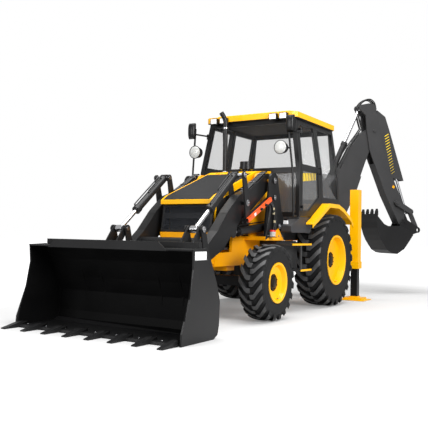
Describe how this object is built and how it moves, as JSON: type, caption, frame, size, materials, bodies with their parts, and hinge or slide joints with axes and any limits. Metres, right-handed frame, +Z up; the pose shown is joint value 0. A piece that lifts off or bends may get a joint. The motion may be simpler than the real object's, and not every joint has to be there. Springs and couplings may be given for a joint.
{
  "type": "backhoe loader",
  "caption": "Wheeled backhoe loader with glazed cab, parallel-lift front bucket, side-shift digging arm and drop-leg stabilisers.",
  "frame": {"origin": "floor level under the centre of the whole machine's box, loader bucket and backhoe included", "axes": "-Y forward (loader end), +X the machine's left side, +Z up"},
  "size_m": [2.5362, 8.0213, 3.56],
  "materials": {
    "body_yellow": "gloss",
    "frame_yellow": "satin",
    "charcoal_paint": "matt",
    "boom_grey": "satin",
    "chrome_rod": "polished",
    "pin_steel": "brushed",
    "tyre_rubber": "matt",
    "black_paint": "satin",
    "cab_glass": "clear tint",
    "seat_fabric": "woven",
    "interior_plastic": "grained",
    "engine_iron": "painted"
  },
  "bodies": {
    "chassis": {"main_frame": "frame_yellow", "rear_axle": "black_paint", "engine_block": "engine_iron", "front_axle_beam": "frame_yellow", "scuttle": "body_yellow", "cab_frame": "black_paint", "cab_glass": "cab_glass", "cab_roof": "body_yellow", "cab_floor_and_consoles": "interior_plastic", "rear_fenders": "body_yellow", "tanks_and_steps": "black_paint", "operator_seat": "seat_fabric", "body_fittings": "black_paint", "stabiliser_tubes": "body_yellow"},
    "bonnet": {"bonnet": "body_yellow", "radiator_grille": "black_paint"},
    "door_left": {"door_left": "black_paint", "door_glass_left": "cab_glass"},
    "door_right": {"door_right": "black_paint", "door_glass_right": "cab_glass"},
    "front_wheel_left": {"tyre_front_left": "tyre_rubber", "rim_front_left": "body_yellow"},
    "rear_wheel_left": {"tyre_rear_left": "tyre_rubber", "rim_rear_left": "body_yellow"},
    "front_wheel_right": {"tyre_front_right": "tyre_rubber", "rim_front_right": "body_yellow"},
    "rear_wheel_right": {"tyre_rear_right": "tyre_rubber", "rim_rear_right": "body_yellow"},
    "knuckle_left": {"knuckle_left": "frame_yellow"},
    "knuckle_right": {"knuckle_right": "frame_yellow"},
    "steering_rod": {"steering_rod": "chrome_rod"},
    "loader_arms": {"loader_arms": "charcoal_paint"},
    "levelling_links": {"levelling_links": "charcoal_paint"},
    "level_levers": {"level_levers": "charcoal_paint"},
    "ram_base_pins": {"ram_base_pins": "pin_steel"},
    "tilt_barrels": {"tilt_barrels": "charcoal_paint"},
    "tilt_rods": {"tilt_rods": "chrome_rod"},
    "tipping_lever_pins": {"tipping_lever_pins": "pin_steel"},
    "tipping_levers": {"tipping_levers": "charcoal_paint"},
    "ram_eye_pins": {"ram_eye_pins": "pin_steel"},
    "tipping_links": {"tipping_links": "charcoal_paint"},
    "bucket_hinge_pins": {"bucket_hinge_pins": "pin_steel"},
    "loader_bucket": {"loader_bucket": "charcoal_paint"},
    "lift_barrels": {"lift_barrels": "charcoal_paint"},
    "lift_rods": {"lift_rods": "chrome_rod"},
    "backhoe_carriage": {"backhoe_carriage": "boom_grey"},
    "kingpost": {"kingpost": "boom_grey"},
    "boom": {"boom": "boom_grey"},
    "boom_ram_barrel": {"boom_ram_barrel": "charcoal_paint"},
    "boom_ram_rod": {"boom_ram_rod": "chrome_rod"},
    "dipper": {"dipper": "boom_grey"},
    "dipper_ram_barrel": {"dipper_ram_barrel": "charcoal_paint"},
    "dipper_ram_rod": {"dipper_ram_rod": "chrome_rod"},
    "hoe_ram_barrel": {"hoe_ram_barrel": "charcoal_paint"},
    "hoe_ram_rod": {"hoe_ram_rod": "chrome_rod"},
    "hoe_rocker": {"hoe_rocker": "boom_grey"},
    "hoe_link": {"hoe_link": "boom_grey"},
    "hoe_bucket": {"hoe_bucket": "charcoal_paint"},
    "stabiliser_leg_left": {"stabiliser_leg_left": "black_paint"},
    "stabiliser_leg_right": {"stabiliser_leg_right": "black_paint"}
  },
  "joints": [
    {"name": "loader_lift", "type": "hinge", "parent": "chassis", "child": "loader_arms", "pos_m": [-0.135, -1.005, 1.8], "axis": [-1, 0, 0], "range_deg": [-3, 78]},
    {"name": "levelling_link", "type": "hinge", "parent": "chassis", "child": "levelling_links", "pos_m": [-0.135, -0.997, 1.574], "axis": [-1, 0, 0], "range_deg": [-3.5, 78.5]},
    {"name": "level_lever", "type": "hinge", "parent": "loader_arms", "child": "level_levers", "pos_m": [-0.135, -1.711, 1.468], "axis": [-1, 0, 0], "range_deg": [-78.5, 3.5]},
    {"name": "ram_base_pin", "type": "hinge", "parent": "level_levers", "child": "ram_base_pins", "pos_m": [-0.135, -1.8, 1.812], "axis": [-1, 0, 0], "range_deg": [-3.5, 78.5]},
    {"name": "tilt_barrel", "type": "hinge", "parent": "ram_base_pins", "child": "tilt_barrels", "pos_m": [-0.135, -1.8, 1.812], "axis": [-1, 0, 0], "range_deg": [-5.74, 5.74]},
    {"name": "tilt_rod", "type": "slide", "parent": "tilt_barrels", "child": "tilt_rods", "axis": [0, -0.7894, -0.6138], "range_m": [-0.2045, 0.2045]},
    {"name": "tipping_lever_pin", "type": "hinge", "parent": "loader_arms", "child": "tipping_lever_pins", "pos_m": [-0.135, -2.601, 0.776], "axis": [-1, 0, 0], "range_deg": [-78.5, 3.5]},
    {"name": "tipping_lever", "type": "hinge", "parent": "tipping_lever_pins", "child": "tipping_levers", "pos_m": [-0.135, -2.601, 0.776], "axis": [-1, 0, 0], "range_deg": [-40.5, 40.5]},
    {"name": "ram_eye_pin", "type": "hinge", "parent": "tipping_levers", "child": "ram_eye_pins", "pos_m": [-0.135, -2.69, 1.12], "axis": [-1, 0, 0], "range_deg": [-40.5, 40.5]},
    {"name": "tipping_link", "type": "hinge", "parent": "ram_eye_pins", "child": "tipping_links", "pos_m": [-0.135, -2.69, 1.12], "axis": [-1, 0, 0], "range_deg": [-3.5, 78.5]},
    {"name": "bucket_hinge_pin", "type": "hinge", "parent": "loader_arms", "child": "bucket_hinge_pins", "pos_m": [-0.135, -2.945, 0.33], "axis": [-1, 0, 0], "range_deg": [-78.5, 3.5]},
    {"name": "loader_tilt", "type": "hinge", "parent": "bucket_hinge_pins", "child": "loader_bucket", "pos_m": [-0.135, -2.945, 0.33], "axis": [-1, 0, 0], "range_deg": [-40, 40]},
    {"name": "lift_barrel", "type": "hinge", "parent": "chassis", "child": "lift_barrels", "pos_m": [-0.135, -0.845, 1.19], "axis": [-1, 0, 0], "range_deg": [-2.71, 58.06]},
    {"name": "lift_rod", "type": "slide", "parent": "lift_barrels", "child": "lift_rods", "axis": [0, -0.9956, -0.0939], "range_m": [-0.0264, 0.6364]},
    {"name": "backhoe_side_shift", "type": "slide", "parent": "chassis", "child": "backhoe_carriage", "axis": [1, 0, 0], "range_m": [-0.5, 0.5]},
    {"name": "backhoe_swing", "type": "hinge", "parent": "backhoe_carriage", "child": "kingpost", "pos_m": [-0.135, 2.155, 0.56], "axis": [0, 0, -1], "range_deg": [-126, 54]},
    {"name": "boom_lift", "type": "hinge", "parent": "kingpost", "child": "boom", "pos_m": [0.01195, 2.35725, 0.56], "axis": [0.809, -0.5878, 0], "range_deg": [-110, 10]},
    {"name": "boom_ram_barrel_turn", "type": "hinge", "parent": "kingpost", "child": "boom_ram_barrel", "pos_m": [-0.04683, 2.27635, 0.88], "axis": [0.809, -0.5878, 0], "range_deg": [-116.33, 11.03]},
    {"name": "boom_ram_rod_slide", "type": "slide", "parent": "boom_ram_barrel", "child": "boom_ram_rod", "axis": [0.0261, 0.0359, 0.999], "range_m": [-0.0507, 0.5376]},
    {"name": "dipper_swing", "type": "hinge", "parent": "boom", "child": "dipper", "pos_m": [0.54036, 3.08456, 3.056], "axis": [0.809, -0.5878, 0], "range_deg": [-8, 85]},
    {"name": "dipper_ram_barrel_turn", "type": "hinge", "parent": "boom", "child": "dipper_ram_barrel", "pos_m": [-0.02979, 2.29981, 2.01], "axis": [0.809, -0.5878, 0], "range_deg": [-3.05, 0.74]},
    {"name": "dipper_ram_rod_slide", "type": "slide", "parent": "dipper_ram_barrel", "child": "dipper_ram_rod", "axis": [0.2538, 0.3493, 0.902], "range_m": [-0.6384, 0.0619]},
    {"name": "hoe_bucket_curl", "type": "hinge", "parent": "dipper", "child": "hoe_bucket", "pos_m": [0.94888, 3.64683, 1.364], "axis": [0.809, -0.5878, 0], "range_deg": [-20, 130]},
    {"name": "hoe_rocker_turn", "type": "hinge", "parent": "dipper", "child": "hoe_rocker", "pos_m": [0.82897, 3.48179, 1.72], "axis": [0.809, -0.5878, 0], "range_deg": [-16.28, 103.07]},
    {"name": "hoe_link_turn", "type": "hinge", "parent": "hoe_rocker", "child": "hoe_link", "pos_m": [1.01706, 3.74067, 1.56], "axis": [0.809, -0.5878, 0], "range_deg": [-121.14, 19.06]},
    {"name": "hoe_ram_barrel_turn", "type": "hinge", "parent": "dipper", "child": "hoe_ram_barrel", "pos_m": [0.64675, 3.23099, 3.29], "axis": [0.809, -0.5878, 0], "range_deg": [-0.58, 1.02]},
    {"name": "hoe_ram_rod_slide", "type": "slide", "parent": "hoe_ram_barrel", "child": "hoe_ram_rod", "axis": [0.2011, 0.2768, -0.9396], "range_m": [-0.5579, 0.0875]},
    {"name": "stabiliser_lift_left", "type": "slide", "parent": "chassis", "child": "stabiliser_leg_left", "axis": [0, 0, 1], "range_m": [0, 0.38]},
    {"name": "stabiliser_lift_right", "type": "slide", "parent": "chassis", "child": "stabiliser_leg_right", "axis": [0, 0, 1], "range_m": [0, 0.38]},
    {"name": "steer_left", "type": "hinge", "parent": "chassis", "child": "knuckle_left", "pos_m": [0.545, -1.525, 0.478], "axis": [0, 0, 1], "range_deg": [-35, 35]},
    {"name": "steer_right", "type": "hinge", "parent": "chassis", "child": "knuckle_right", "pos_m": [-0.815, -1.525, 0.478], "axis": [0, 0, 1], "range_deg": [-35.5, 35.5]},
    {"name": "track_rod", "type": "slide", "parent": "chassis", "child": "steering_rod", "axis": [1, 0, 0], "range_m": [-0.0885, 0.0885]},
    {"name": "front_wheel_spin_left", "type": "hinge", "parent": "knuckle_left", "child": "front_wheel_left", "pos_m": [0.745, -1.525, 0.478], "axis": [1, 0, 0], "continuous": true},
    {"name": "rear_wheel_spin_left", "type": "hinge", "parent": "chassis", "child": "rear_wheel_left", "pos_m": [0.615, 0.655, 0.705], "axis": [1, 0, 0], "continuous": true},
    {"name": "front_wheel_spin_right", "type": "hinge", "parent": "knuckle_right", "child": "front_wheel_right", "pos_m": [-1.015, -1.525, 0.478], "axis": [1, 0, 0], "continuous": true},
    {"name": "rear_wheel_spin_right", "type": "hinge", "parent": "chassis", "child": "rear_wheel_right", "pos_m": [-0.885, 0.655, 0.705], "axis": [1, 0, 0], "continuous": true},
    {"name": "bonnet_lift", "type": "hinge", "parent": "chassis", "child": "bonnet", "pos_m": [-0.135, -0.985, 1.925], "axis": [-1, 0, 0], "range_deg": [0, 50]},
    {"name": "door_swing_left", "type": "hinge", "parent": "chassis", "child": "door_left", "pos_m": [0.75, -0.485, 1.345], "axis": [0.0785, -0.1027, -0.9916], "range_deg": [0, 75]},
    {"name": "door_swing_right", "type": "hinge", "parent": "chassis", "child": "door_right", "pos_m": [-1.02, -0.485, 1.345], "axis": [0.0785, 0.1027, 0.9916], "range_deg": [0, 75]}
  ],
  "couplings": [
    {"joint": "levelling_link", "follows": "loader_lift", "ratio": 1},
    {"joint": "level_lever", "follows": "loader_lift", "ratio": -1},
    {"joint": "ram_base_pin", "follows": "loader_lift", "ratio": 1},
    {"joint": "tilt_barrel", "follows": "loader_tilt", "ratio": -0.131},
    {"joint": "tilt_rod", "follows": "loader_tilt", "m_per_rad": -0.29},
    {"joint": "tipping_lever_pin", "follows": "loader_lift", "ratio": -1},
    {"joint": "tipping_lever", "follows": "loader_tilt", "ratio": 1},
    {"joint": "ram_eye_pin", "follows": "loader_tilt", "ratio": -1},
    {"joint": "tipping_link", "follows": "loader_lift", "ratio": 1},
    {"joint": "bucket_hinge_pin", "follows": "loader_lift", "ratio": -1},
    {"joint": "lift_barrel", "follows": "loader_lift", "ratio": 0.738},
    {"joint": "lift_rod", "follows": "loader_lift", "m_per_rad": 0.466},
    {"joint": "boom_ram_barrel_turn", "follows": "boom_lift", "ratio": 1.053},
    {"joint": "boom_ram_rod_slide", "follows": "boom_lift", "m_per_rad": -0.279},
    {"joint": "dipper_ram_barrel_turn", "follows": "dipper_swing", "ratio": -0.03},
    {"joint": "dipper_ram_rod_slide", "follows": "dipper_swing", "m_per_rad": -0.429},
    {"joint": "hoe_rocker_turn", "follows": "hoe_bucket_curl", "ratio": 0.789},
    {"joint": "hoe_link_turn", "follows": "hoe_bucket_curl", "ratio": -0.928},
    {"joint": "hoe_ram_barrel_turn", "follows": "hoe_bucket_curl", "ratio": 0.004},
    {"joint": "hoe_ram_rod_slide", "follows": "hoe_bucket_curl", "m_per_rad": -0.245},
    {"joint": "steer_right", "follows": "steer_left", "ratio": 1},
    {"joint": "track_rod", "follows": "steer_left", "m_per_rad": -0.141}
  ]
}
